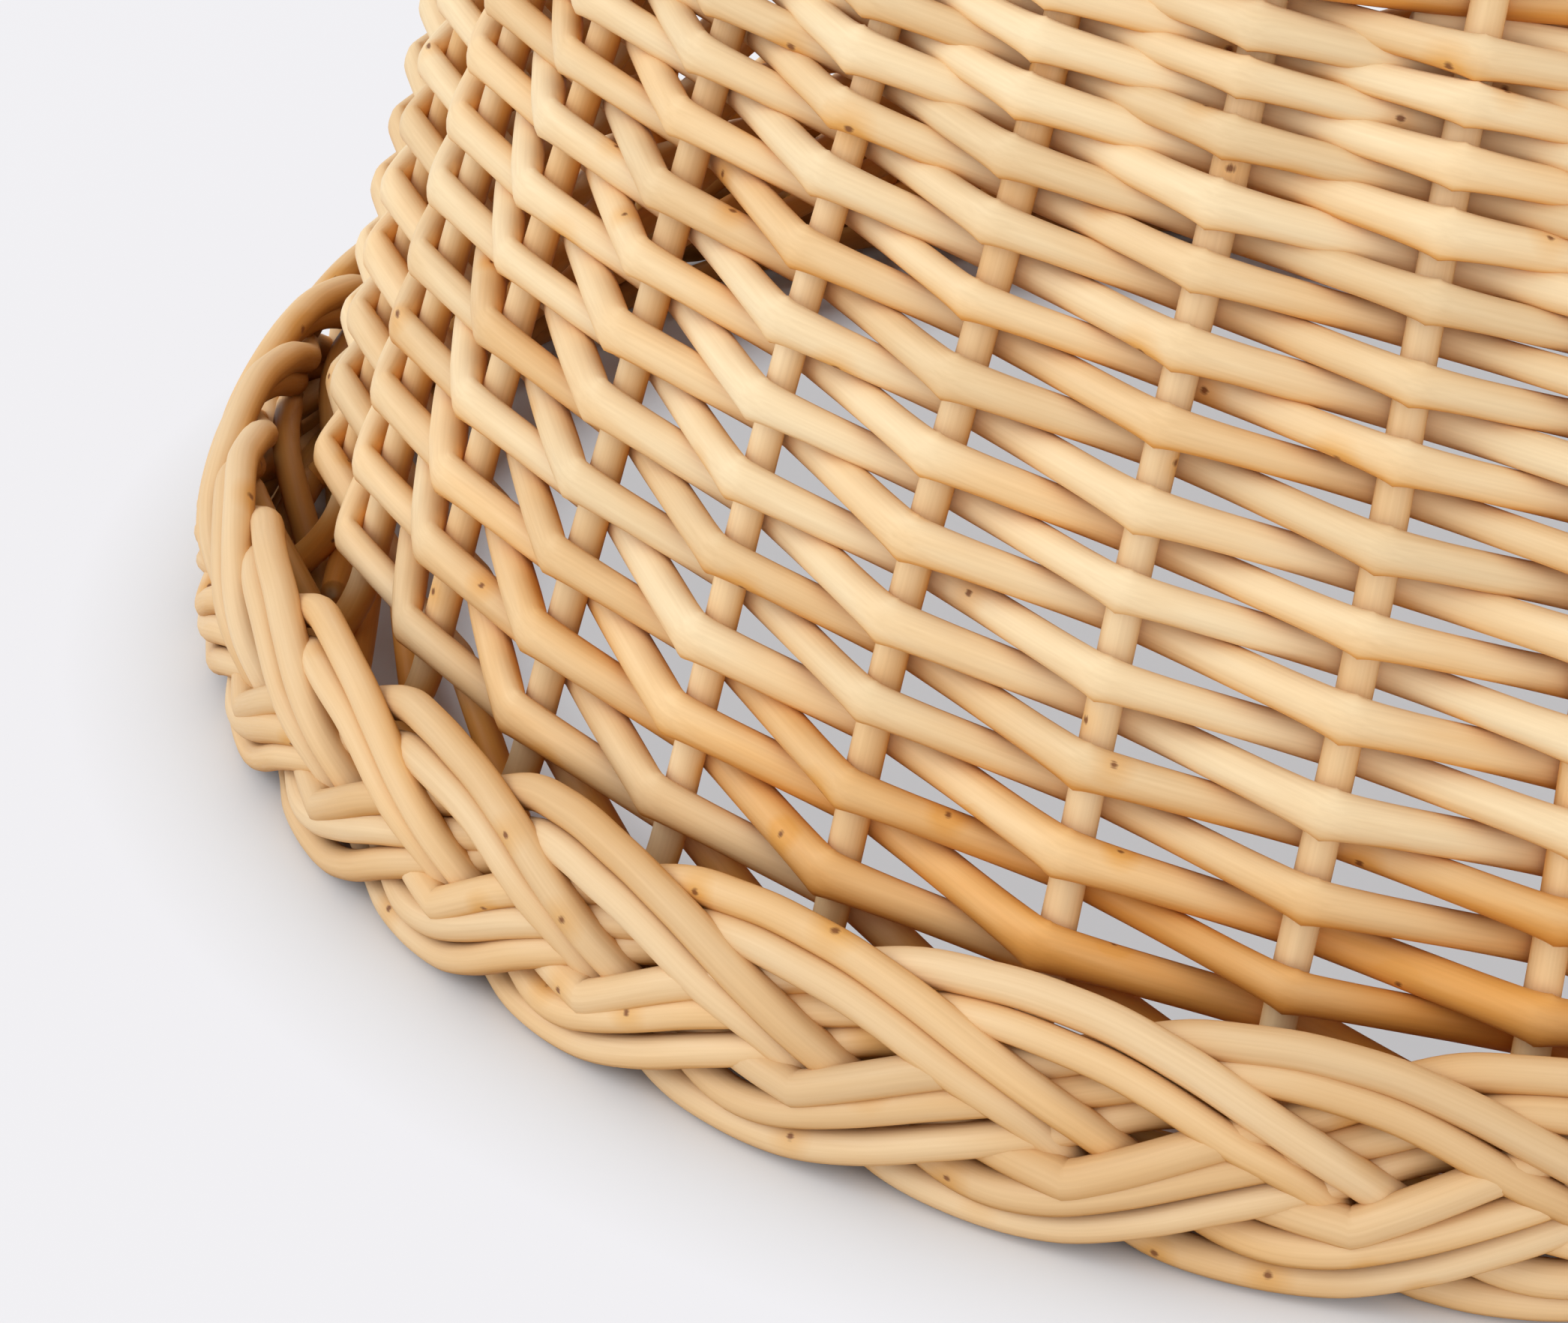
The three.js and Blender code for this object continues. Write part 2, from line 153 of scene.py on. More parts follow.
def rod(line, facing, thickness, tint, press=0.0):
    """A round rod about a line: at each of its points stands a ring of half the thickness, swollen by a few hundredths
    in slow waves along and round it and flattened by a share `press` towards `facing`. Its seam lies away from
    `facing`, its tint deepens as painted shade on the sides turned away from `facing` and from above, and a point
    closes each end."""
    along = unit(np.gradient(line, axis=0))
    front = unit(facing - (facing * along).sum(1, keepdims=True) * along)
    side = np.cross(along, front)
    steps = np.linalg.norm(np.diff(line, axis=0), axis=1)
    length = np.concatenate([[0.0], np.cumsum(steps)])
    far = length[:, None]
    turn = np.pi + np.linspace(0, FULL_TURN, RING_POINTS, endpoint=False)
    wave = chance.uniform(0, FULL_TURN, 3)
    swell = 1 + OVAL * np.cos(2 * turn + far / OVAL_TWIST + wave[2])
    for (share, stretch), phase in zip(SWELLS, wave):
        swell = swell + share * np.sin(far / stretch + phase)
    reach = np.broadcast_to(thickness, length.shape)[:, None] / 2 * swell
    pressed = np.broadcast_to(press, length.shape)[:, None]
    across = (reach * np.cos(turn) * (1 - pressed))[..., None]
    aside = (reach * np.sin(turn) * (1 + PRESS_WIDENS * pressed))[..., None]
    rings = line[:, None] + across * front[:, None] + aside * side[:, None]
    tips = np.stack([
        line[0] - TIP_LENGTH * reach[0, 0] * along[0],
        line[-1] + TIP_LENGTH * reach[-1, 0] * along[-1],
    ])
    # Painted shade: the sides turned away from `facing`, tilted up, get a deeper tint, as if shaded from a lamp in
    # front and above
    painted_light_from = unit(front + np.array([0, 0, PAINTED_LIGHT_LIFT]))
    painted_lighting = np.cos(turn) * (front * painted_light_from).sum(1)[:, None]
    painted_lighting = painted_lighting + np.sin(turn) * (side * painted_light_from).sum(1)[:, None]
    painted_shade_share = np.maximum((1 - painted_lighting) / 2, 0) ** PAINTED_SHADE_POWER
    deep = np.broadcast_to(tint, length.shape)[:, None] + PAINTED_SHADE_TINT * painted_shade_share
    start = chance.uniform(*GRAIN_STARTS)
    grain = np.concatenate([np.broadcast_to((far + start)[..., None], across.shape), across, aside], -1)
    ends = np.array([(start, 0, 0), (start + length[-1], 0, 0)])
    quads, caps = ring_faces(len(line))
    quad_uv, cap_uv = laid_flat(far + start, reach, turn)
    return {
        "points": np.concatenate([rings.reshape(-1, 3), tips]),
        "quads": quads,
        "caps": caps,
        "quad_uv": quad_uv,
        "cap_uv": cap_uv,
        "grain": np.concatenate([grain.reshape(-1, 3), ends]),
        "tint": np.concatenate([deep.ravel(), np.zeros(2)]),
        "tone": np.full(len(line) * RING_POINTS + 2, chance.uniform()),
    }


def bind(name, rods, material, nodes):
    """Joins rods into one mesh with their grain, tint and tone, and lets it ride in place of the CAD nodes."""
    def all_of(key):
        return np.concatenate([r[key] for r in rods])

    starts = np.cumsum([0] + [len(r["points"]) for r in rods])
    quads = np.concatenate([r["quads"] + s for r, s in zip(rods, starts)])
    caps = np.concatenate([r["caps"] + s for r, s in zip(rods, starts)])
    mesh = bpy.data.meshes.new(name)
    mesh.from_pydata((all_of("points") * MM).tolist(), [], quads.tolist() + caps.tolist())
    mesh.polygons.foreach_set("use_smooth", np.ones(len(mesh.polygons), bool))
    uv = np.concatenate([all_of("quad_uv"), all_of("cap_uv")]) / SKIN_UNIT
    mesh.uv_layers.new(name="girth").data.foreach_set("uv", uv.ravel())
    mesh.attributes.new("grain", "FLOAT_VECTOR", "POINT").data.foreach_set("vector", all_of("grain").ravel())
    for key in ("tint", "tone"):
        mesh.attributes.new(key, "FLOAT", "POINT").data.foreach_set("value", all_of(key))
    mesh.materials.append(material)
    mesh.update()
    made = bpy.data.objects.new(name, mesh)
    bpy.context.scene.collection.objects.link(made)
    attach(made, "root")
    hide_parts(*nodes)


# The look of peeled willow. A noise has its scale along the rod and across it, and its detail
STREAKS = ((0.045, 2.3, 2.3), 4)
CLOUDS = ((0.03, 0.16, 0.16), 2)
FLECKS = ((0.35, 3.2, 3.2), 2)
NOISE_SPAN = (0.25, 0.75)
SCAR_CELLS = 5.6
SCARS_LEFT_OUT = 0.6
SCAR_FLECK_SPAN = (0.3, 0.7)
SCAR_RAGGED = (-0.01, 0.01)
SCAR_SIZES = (0.7, 1.5)
SCAR_EDGE = (0.014, 0.036)
SCAR_COVER = 0.9
SCAR_BROWN = (0.20, 0.065, 0.02)
HALO_EDGE = (0.04, 0.2)
HALO_AMBER = (0.5, 0)
CLOUD_AMBER = (-0.22, 0.3)
DEEP_SPAN = (0.6, 1.4)
STREAK_LIGHT = (0.95, 1.04)
TONE_LIGHT = (0.9, 1.06)
GREEN_POWER = 1.35
BLUE_POWER = 1.8
ROUGHNESS = (0.42, 0.6)
SHINE = 0.3
STREAK_RELIEF = 0.5
SCAR_RELIEF = -0.9
BUMP_STRENGTH = 0.2
BUMP_DEPTH = 0.12


def link(tree, pairs):
    for source, target in pairs:
        tree.links.new(source, target)


def math_node(tree, operation, first, second, clamp=False):
    node = tree.nodes.new("ShaderNodeMath")
    node.operation = operation
    node.use_clamp = clamp
    for socket, value in zip(node.inputs, (first, second)):
        if isinstance(value, (int, float)):
            socket.default_value = value
        else:
            tree.links.new(value, socket)
    return node.outputs[0]


def mix_node(tree, blend, factor, first, second):
    node = tree.nodes.new("ShaderNodeMix")
    node.data_type = "RGBA"
    node.blend_type = blend
    for socket, value in zip((node.inputs[0], node.inputs[6], node.inputs[7]), (factor, first, second)):
        if isinstance(value, (int, float, tuple)):
            socket.default_value = value
        else:
            tree.links.new(value, socket)
    return node.outputs[2]


def span_node(tree, value, span, result):
    node = tree.nodes.new("ShaderNodeMapRange")
    for socket, number in zip(node.inputs[1:5], (*span, *result)):
        socket.default_value = number
    tree.links.new(value, node.inputs[0])
    return node.outputs[0]


def stretched_noise(tree, source, scale, detail):
    stretch = tree.nodes.new("ShaderNodeVectorMath")
    stretch.operation = "MULTIPLY"
    stretch.inputs[1].default_value = scale
    noise = tree.nodes.new("ShaderNodeTexNoise")
    noise.inputs["Scale"].default_value = 1.0
    noise.inputs["Detail"].default_value = detail
    link(tree, [(source, stretch.inputs[0]), (stretch.outputs[0], noise.inputs["Vector"])])
    return noise.outputs[0]


def willow_group():
    """Shader group for peeled willow: fine streaks and slow clouds along the rod, bud scars, and their relief."""
    tree = bpy.data.node_groups.new("peeled willow", "ShaderNodeTree")
    for name in ("Pale", "Amber", "Deep", "Scar"):
        tree.interface.new_socket(name, in_out="INPUT", socket_type="NodeSocketColor")
    for name, kind in (("Color", "Color"), ("Roughness", "Float"), ("Normal", "Vector")):
        tree.interface.new_socket(name, in_out="OUTPUT", socket_type="NodeSocket" + kind)
    inside = tree.nodes.new("NodeGroupInput")
    outside = tree.nodes.new("NodeGroupOutput")
    read = {}
    for key in ("grain", "tint", "tone"):
        read[key] = tree.nodes.new("ShaderNodeAttribute")
        read[key].attribute_name = key
    grain = read["grain"].outputs["Vector"]
    streaks = stretched_noise(tree, grain, *STREAKS)
    clouds = stretched_noise(tree, grain, *CLOUDS)
    flecks = stretched_noise(tree, grain, *FLECKS)

    # Bud scars: a few of the cells on the flat skin have one in the middle, with ragged edges and a warm halo
    girth = tree.nodes.new("ShaderNodeUVMap")
    girth.uv_map = "girth"
    cells = tree.nodes.new("ShaderNodeTexVoronoi")
    cells.voronoi_dimensions = "2D"
    cells.inputs["Scale"].default_value = SCAR_CELLS
    chosen = tree.nodes.new("ShaderNodeSeparateColor")
    link(tree, [(girth.outputs[0], cells.inputs["Vector"]), (cells.outputs["Color"], chosen.inputs[0])])
    kept = math_node(tree, "GREATER_THAN", chosen.outputs[0], SCARS_LEFT_OUT)
    rough_edge = span_node(tree, flecks, SCAR_FLECK_SPAN, SCAR_RAGGED)
    ragged = math_node(tree, "ADD", cells.outputs["Distance"], rough_edge)
    near = math_node(tree, "MULTIPLY", ragged, span_node(tree, chosen.outputs[1], (0, 1), SCAR_SIZES))
    scar = math_node(tree, "MULTIPLY", span_node(tree, near, SCAR_EDGE, (1, 0)), kept)
    halo = math_node(tree, "MULTIPLY", span_node(tree, near, HALO_EDGE, HALO_AMBER), kept)

    # Colour: from pale to amber to deep by the tint, then lighter or darker by the streaks and from rod to rod. The
    # deep end mostly shows painted shade, which the tint carries
    drift = math_node(tree, "ADD", read["tint"].outputs["Fac"], span_node(tree, clouds, NOISE_SPAN, CLOUD_AMBER))
    amber = math_node(tree, "ADD", drift, halo, clamp=True)
    color = mix_node(tree, "MIX", amber, inside.outputs["Pale"], inside.outputs["Amber"])
    color = mix_node(tree, "MIX", span_node(tree, drift, DEEP_SPAN, (0, 1)), color, inside.outputs["Deep"])
    shade = span_node(tree, streaks, NOISE_SPAN, STREAK_LIGHT)
    tone = span_node(tree, read["tone"].outputs["Fac"], (0, 1), TONE_LIGHT)
    light = math_node(tree, "MULTIPLY", shade, tone)
    bright = tree.nodes.new("ShaderNodeCombineColor")
    link(tree, [
        (light, bright.inputs[0]),
        (math_node(tree, "POWER", light, GREEN_POWER), bright.inputs[1]),
        (math_node(tree, "POWER", light, BLUE_POWER), bright.inputs[2]),
    ])
    color = mix_node(tree, "MULTIPLY", 1.0, color, bright.outputs[0])
    color = mix_node(tree, "MIX", math_node(tree, "MULTIPLY", scar, SCAR_COVER), color, inside.outputs["Scar"])

    # Relief: the streaks stand up a little and the scars are sunk
    raised = math_node(tree, "MULTIPLY", streaks, STREAK_RELIEF)
    sunk = math_node(tree, "MULTIPLY", scar, SCAR_RELIEF)
    bump = tree.nodes.new("ShaderNodeBump")
    bump.inputs["Strength"].default_value = BUMP_STRENGTH
    bump.inputs["Distance"].default_value = BUMP_DEPTH * MM
    link(tree, [
        (math_node(tree, "ADD", raised, sunk), bump.inputs["Height"]),
        (color, outside.inputs["Color"]),
        (span_node(tree, flecks, NOISE_SPAN, ROUGHNESS), outside.inputs["Roughness"]),
        (bump.outputs[0], outside.inputs["Normal"]),
    ])
    return tree


willow_look = willow_group()


def willow(name, pale, amber, deep):
    """A material of peeled willow between a pale and an amber colour, with a deep one for painted shade on its sides
    turned from the light and on parts out of sight.
    """
    material = bpy.data.materials.new(name)
    material.use_nodes = True
    tree = material.node_tree
    surface = tree.nodes["Principled BSDF"]
    surface.inputs["Specular IOR Level"].default_value = SHINE
    look = tree.nodes.new("ShaderNodeGroup")
    look.node_tree = willow_look
    for key, tone in (("Pale", pale), ("Amber", amber), ("Deep", deep), ("Scar", SCAR_BROWN)):
        look.inputs[key].default_value = (*tone, 1)
    link(tree, [
        (look.outputs["Color"], surface.inputs["Base Color"]),
        (look.outputs["Roughness"], surface.inputs["Roughness"]),
        (look.outputs["Normal"], surface.inputs["Normal"]),
    ])
    return material


# The stakes themselves. A sway is a reach in millimetres and a pace; shifts are in radians
STAKE_THICK = 4.5
STAKE_SIZES = (0.95, 1.04)
STAKE_TAPER = (1, 0.94)
STAKE_RINGS = 110
STAKE_SWAYS = ((0.35, 1 / 17), (0.25, 1 / 41))
STAKE_TINTS = (0, 0.25)
FOOT_SHADE = 0.9
FOOT_SHADE_LENGTH = 10
STAKE_SHIFT = 0.0035
FRONT_STAKES = slice(22, 28)
FRONT_SHIFTS = (0.004, 0.001, -0.006, -0.002, 0.008, 0.014)
stake_shift = chance.normal(0, STAKE_SHIFT, STAKES)
stake_shift[FRONT_STAKES] = FRONT_SHIFTS


def stake_angle(stake, run):
    """Angle of a stake at a run: its step round the bell, its own small shift, and the twist of the wall."""
    shift = stake_shift[np.round(stake).astype(int) % STAKES]
    return STEP * stake + shift + WALL_TWIST * np.minimum(run / wall_length, 1)


def wander(at, waves):
    """Sum of slow waves along a rod, each of a reach and a pace, that start anywhere."""
    return sum(reach * np.sin(at * pace + chance.uniform(0, 6)) for reach, pace in waves)


stake_willow = willow(
    "stake willow", pale=(0.88, 0.68, 0.42), amber=(0.82, 0.46, 0.15), deep=(0.72, 0.29, 0.05),
)
run = np.linspace(-FOOT_LENGTH, edge_run, STAKE_RINGS)
for stake in range(STAKES):
    point, outward, sideways = place(run, stake_angle(np.full(run.shape, stake), run))
    line = point + wander(run, STAKE_SWAYS)[:, None] * sideways
    thick = STAKE_THICK * chance.uniform(*STAKE_SIZES) * np.interp(run, (0, edge_run), STAKE_TAPER)
    tint = chance.uniform(*STAKE_TINTS) + np.clip(-run / FOOT_SHADE_LENGTH, 0, FOOT_SHADE)
    upright = rod(line, outward, thick, tint)
    bind(f"stake_rod_{stake + 1}", [upright], stake_willow, [f"stake_{stake + 1}"])

# Weavers. As many rods as stakes are worked at once: each passes outside one stake and inside the next and drops a
# row at every stake. Its tip is tucked in under the shoulder, and its butt goes down behind the border. Butts are
# darker than tips. On the left side, where the broad lamp falls, they are made paler, which is painted light, and
# below the lowest row, behind the border, they are darker still, which is painted shade.
WEAVER_THICK = (5.05, 4.25)
WEAVER_SIZES = (0.93, 1.07)
WEAVER_PRESS = 0.05
WEAVER_STEPS = 16
WEAVER_LIFT = 40.0
PACKED_ABOVE = 15
TOP_PACKED = 0.055
BUTT_STAKE, BUTT_ROW = -1.25, -2.2
TIP_STAKE, TIP_ROW = 0.35, 0.15
UNEVEN_BEAT = 0.05
OUTSIDE, INSIDE = 0.0, np.pi
PINCH_OUTSIDE, PINCH_INSIDE = 0.4, 0.2
PINCH_REACH = 0.4
WIDTH_OUTSIDE, WIDTH_INSIDE = 1.05, 0.95
# Amber by row is the rods' own colour; the lower amber share on the left, where the broad lamp falls, is painted light
AMBER_ROWS, AMBER_TINTS = (0, 2, 5, LAST_ROW), (0.9, 0.7, 0.1, 0)
LAMP_SIDE_STAKES, LAMP_SIDE_AMBER = (12, 17, 24, 27), (1, 0.25, 0.3, 1)
WEAVER_TINT_SPREAD = 0.1
CORNER_EASE = np.array([1, 2, 1]) / 4
CORNER_PULL = 0.13


def eased(values, weights):
    """A running mean of rows with the given weights; the first and last rows are repeated past the ends."""
    reach = len(weights) // 2
    padded = np.concatenate([np.repeat(values[:1], reach, 0), values, np.repeat(values[-1:], reach, 0)])
    return sum(weight * padded[i:i + len(values)] for i, weight in enumerate(weights))


def kinked(stations, steps):
    """Rows on straight lines between stations, `steps` rows to a line, set closer towards its ends so that the
    corners stay crisp, and with every corner eased over a row."""
    at = np.arange((len(stations) - 1) * steps + 1) / steps
    low = np.minimum(at.astype(int), len(stations) - 2)
    share = (at - low)[:, None]
    share = share - CORNER_PULL * np.sin(FULL_TURN * share)
    return eased(stations[low] * (1 - share) + stations[low + 1] * share, CORNER_EASE)


def away_from_middle(line, lift):
    """Directions from the middle line of the bell to the points of a line, tilted up by `lift` millimetres."""
    return np.column_stack([line[:, :2], np.full(len(line), lift)])


def row_run(row):
    """Where a row lies: the rows near the top are beaten down harder than a steady pitch gives."""
    return evenly_tighter(row) - TOP_PACKED * np.maximum(row - PACKED_ABOVE, 0) ** 2


def weaver_station(stake, row, swing):
    """A place where a weaver rounds a stake: swing 0 lies outside it and half a turn lies inside."""
    run = row_run(row)
    point, outward, sideways = place(run, stake_angle(stake, run))
    thick = np.interp(row, (0, LAST_ROW), WEAVER_THICK)
    reach = ((STAKE_THICK + thick) / 2 - WEAVER_PRESS)[:, None]
    return point + reach * (np.cos(swing)[:, None] * outward - np.sin(swing)[:, None] * sideways)


weaver_willow = willow(
    "weaver willow", pale=(0.88, 0.68, 0.425), amber=(0.81, 0.42, 0.115), deep=(0.72, 0.29, 0.05),
)
passed = np.concatenate([[BUTT_STAKE], np.arange(LAST_ROW + 1), [LAST_ROW + TIP_STAKE]])
rows = np.concatenate([[BUTT_ROW], np.arange(LAST_ROW + 1), [LAST_ROW + TIP_ROW]])
swings = np.where(np.round(np.clip(passed, 0, LAST_ROW)) % 2, OUTSIDE, INSIDE)
level = kinked(rows[:, None], WEAVER_STEPS)[:, 0]
station = np.arange(len(level)) / WEAVER_STEPS
turned_out = np.interp(station, np.arange(len(swings)), swings == OUTSIDE)
at_stake = np.clip(1 - np.abs(station - np.round(station)) / PINCH_REACH, 0, 1)
press = (PINCH_INSIDE + (PINCH_OUTSIDE - PINCH_INSIDE) * turned_out) * at_stake
taper = np.interp(level, (0, LAST_ROW), WEAVER_THICK)
taper = taper * (WIDTH_INSIDE + (WIDTH_OUTSIDE - WIDTH_INSIDE) * turned_out)
butt_tint = np.interp(level, AMBER_ROWS, AMBER_TINTS)
# Painted shade: below the lowest row the butts go down behind the border, and their tint is deepened there
unseen_shade = np.clip(-level, 0, 1)
for pair in range(STAKES // 2):
    weavers = []
    for first in (2 * pair, 2 * pair + 1):
        beaten = rows + chance.normal(0, UNEVEN_BEAT, rows.shape)
        line = kinked(weaver_station(first - passed, beaten, swings), WEAVER_STEPS)
        thick = taper * chance.uniform(*WEAVER_SIZES)
        tint = butt_tint * np.interp(first, LAMP_SIDE_STAKES, LAMP_SIDE_AMBER)
        tint = tint + chance.normal(0, WEAVER_TINT_SPREAD) + unseen_shade
        weavers.append(rod(line, away_from_middle(line, WEAVER_LIFT), thick, tint, press))
    bind(f"weaver_rod_{pair + 1}", weavers, weaver_willow, [f"weaver_{pair + 1}"])

# Plaited border. Each stake's tail leaves its foot behind the plait, comes out under it and turns up sharply into a
# band of three, dives under, arches over the top edge in a band of two, and does so twice more. Its end lies inside.
# The route gives places along it in stakes, then millimetres across the plait, downwards, and over it, outwards.
BORDER_THICK = (4.95, 4.7, 4.25)
BORDER_THICK_AT = (-1, 1, 9)
BORDER_SIZES = (0.96, 1.05)
BORDER_TINTS = (-0.05, 0.3)
BORDER_LIFT = 50.0
BORDER_STRANDS = 3
PLAIT_TILT = np.radians(18)
PLAIT_MIDDLE = (174.1, 13.7)
PLAIT_STRETCH = 1.03
PLAIT_SHIFT = 0.81
PLAIT_SWELL = 5.5
SWELL_MIDDLE = -8.0
SWELL_HALF_WIDTH = 17.0
SWELL_RISE = np.radians(27.7)
FLOOR_GAP = 0.35
TURN_STAKES = (0, 12, 17, 19, 20, 21, 22, 23, 24, 25, 26, 30, 36)
TURN_LAGS = (1.25, 1.25, 1.30, 1.32, 1.30, 1.26, 1.16, 1.21, 1.34, 1.41, 1.41, 1.25, 1.25)
ROUND_STAKES = (0, 14, 17, 18, 19, 20.5, 23, 26, 30, 36)
ROUND_ERRORS = (0, 0, -0.6, 0.2, 0.8, -0.5, -1.9, -0.7, 0, 0)
TAIL_SWAYS = ((0.35, 1.7), (0.2, 3.9))
TAIL_ROUTE = np.array([
    (-2.30, -1.0, -10.8), (-2.00, 0.6, -9.5), (-1.60, 2.4, -8.0), (-1.20, 3.4, -6.8), (-0.80, 3.0, -5.0),
    (-0.45, 1.5, -1.5), (-0.25, 2.5, 0.3), (-0.06, 3.25, 1.8), (0.00, 3.5, 2.2), (0.06, 2.75, 2.2),
    (0.25, -0.4, 2.3), (0.47, -4.2, 2.2), (0.62, -6.0, 0.6), (0.85, -8.6, -2.0), (1.10, -12.3, -2.5),
    (1.35, -15.5, -0.6), (1.75, -16.4, 2.0), (2.10, -14.9, 2.3), (2.42, -11.7, 2.3), (2.68, -8.0, 2.3),
    (2.95, -3.8, 1.6), (3.12, -0.6, -0.8), (3.32, 3.4, -2.5), (3.50, 6.2, -0.6), (3.72, 7.4, 1.8),
    (3.95, 6.5, 2.3), (4.25, 3.1, 2.3), (4.50, -0.3, 2.2), (4.73, -2.8, 0.8), (4.95, -5.1, -2.0),
    (5.25, -8.8, -2.5), (5.48, -11.7, -0.6), (5.75, -12.4, 1.9), (6.12, -10.5, 2.3), (6.36, -7.7, 2.3),
    (6.58, -4.5, 2.3), (6.81, -2.0, 1.5), (6.95, 1.2, -1.4), (7.06, 5.6, -2.8), (7.16, 8.6, -2.6),
    (7.28, 9.9, -1.4), (7.46, 10.4, 0.7), (7.75, 10.8, 2.0), (8.00, 10.3, 2.2), (8.30, 7.0, 2.3),
    (8.53, 3.5, 2.2), (8.78, 0.4, 0.8), (8.98, -1.8, -1.8), (9.20, -5.0, -3.4), (9.60, -7.2, -5.4),
    (9.95, -7.0, -7.6), (10.20, -5.0, -10.6), (10.42, -1.6, -13.8), (10.65, 1.4, -15.8), (10.95, 3.2, -16.2),
    (11.50, 3.6, -16.2), (12.10, 3.6, -16.0),
])
ROUTE_STEP = 0.05
ROUTE_EASE = np.array([1, 2, 3, 4, 3, 2, 1]) / 16
SHARP_TURN = 0.14
SHARP_TURN_ROWS = (-0.075, -0.025, 0.025, 0.075)
FOOT_END, FOOT_FADE = -1.2, 1.1
SEEN_FROM, SEEN_TO, SEEN_FADE = -0.7, 9.1, 0.5


def route_at(places):
    """Millimetres across and over the plait at places along a tail, on straight lines between the route's points."""
    return np.stack([np.interp(places, TAIL_ROUTE[:, 0], column) for column in TAIL_ROUTE[:, 1:].T], -1)


def plait_line(along, across, over):
    """Points of the border: `along` in stakes, `across` down the plait, `over` out from it. Its section is swollen by
    a parabola, the border is out of round by a millimetre or two, and no rod of it goes below the floor."""
    wide = PLAIT_STRETCH * (across + PLAIT_SHIFT)
    error = np.interp(along % STAKES, ROUND_STAKES, ROUND_ERRORS)
    swell = PLAIT_SWELL * (1 - ((across - SWELL_MIDDLE) / SWELL_HALF_WIDTH) ** 2)
    radius = PLAIT_MIDDLE[0] + error + wide * np.sin(PLAIT_TILT) + over * np.cos(PLAIT_TILT)
    height = PLAIT_MIDDLE[1] - wide * np.cos(PLAIT_TILT) + over * np.sin(PLAIT_TILT)
    radius = radius + swell * np.cos(SWELL_RISE)
    height = np.maximum(height + swell * np.sin(SWELL_RISE), BORDER_THICK[2] / 2 + FLOOR_GAP)
    return np.stack([radius * np.cos(STEP * along), radius * np.sin(STEP * along), height], -1)


# The border's deep colour is darker than the other willows', for deeper painted shade in the crevices of the plait
border_willow = willow(
    "border willow", pale=(0.80, 0.58, 0.345), amber=(0.72, 0.38, 0.11), deep=(0.42, 0.18, 0.035),
)
even = np.arange(TAIL_ROUTE[0, 0], TAIL_ROUTE[-1, 0], ROUTE_STEP)
tail_at = np.sort(np.concatenate([even, SHARP_TURN_ROWS]))
soft = np.stack([np.interp(tail_at, even, column) for column in eased(route_at(even), ROUTE_EASE).T], -1)
sharp = np.exp(-(tail_at / SHARP_TURN) ** 2)[:, None]
route = sharp * route_at(tail_at) + (1 - sharp) * soft
taper = np.interp(tail_at, BORDER_THICK_AT, BORDER_THICK)
from_foot = np.clip((FOOT_END - tail_at) / FOOT_FADE, 0, 1)
# Painted shade: the tail ends near the feet and inside the border lie out of sight in the plait's shade and get a
# deeper tint
unseen_shade = np.clip((SEEN_FROM - tail_at) / SEEN_FADE, 0, 1) + np.clip((tail_at - SEEN_TO) / SEEN_FADE, 0, 1)
tails = []
for stake in range(STAKES):
    ahead = stake + tail_at
    along = ahead + np.interp(ahead % STAKES, TURN_STAKES, TURN_LAGS)
    foot = stake_angle(np.array(stake - 1), -FOOT_LENGTH) / STEP
    along = along + from_foot * (foot - along[0])
    line = plait_line(along, route[:, 0] + wander(tail_at, TAIL_SWAYS), route[:, 1])
    thick = taper * chance.uniform(*BORDER_SIZES)
    tint = chance.uniform(*BORDER_TINTS) + unseen_shade
    tails.append(rod(line, away_from_middle(line, BORDER_LIFT), thick, tint))
for strand in range(BORDER_STRANDS):
    nodes = [f"border_strand_{strand + 1}"]
    bind(f"border_plait_{strand + 1}", tails[strand::BORDER_STRANDS], border_willow, nodes)

# Crown sticks. Three willow sticks are pushed through three split ones, so that they lie crossed in the middle of the
# crown. From there they are fanned out into twelve spokes, which end short of the shoulder.
STICK_THICK = 4.6
STICK_SIZES = (0.96, 1.04)
STICK_TINTS = (0, 0.3)
STICK_PITCH = 4.75
STICK_STEPS = 8
STICK_SHORT = 2.2
STICKS_CROSS_AT = 8.0
STICKS_OPEN_AT = 22.0
STICKS_SPREAD_AT = 32.0
SPOKES = 12
SPOKE_STATIONS = 8
STAKES_PER_SPOKE = STAKES // SPOKES
CROWN_MARGIN = 4.5
UP = np.array([0.0, 0.0, 1.0])
crown_turn = STEP + WALL_TWIST
crown_length = crown_radius * CROWN_EDGE_SLOPE


def run_at(radius):
    """Run up the bell at which the crown has a radius."""
    return edge_run + crown_length - crown_radius * np.arcsin(radius / crown_radius)


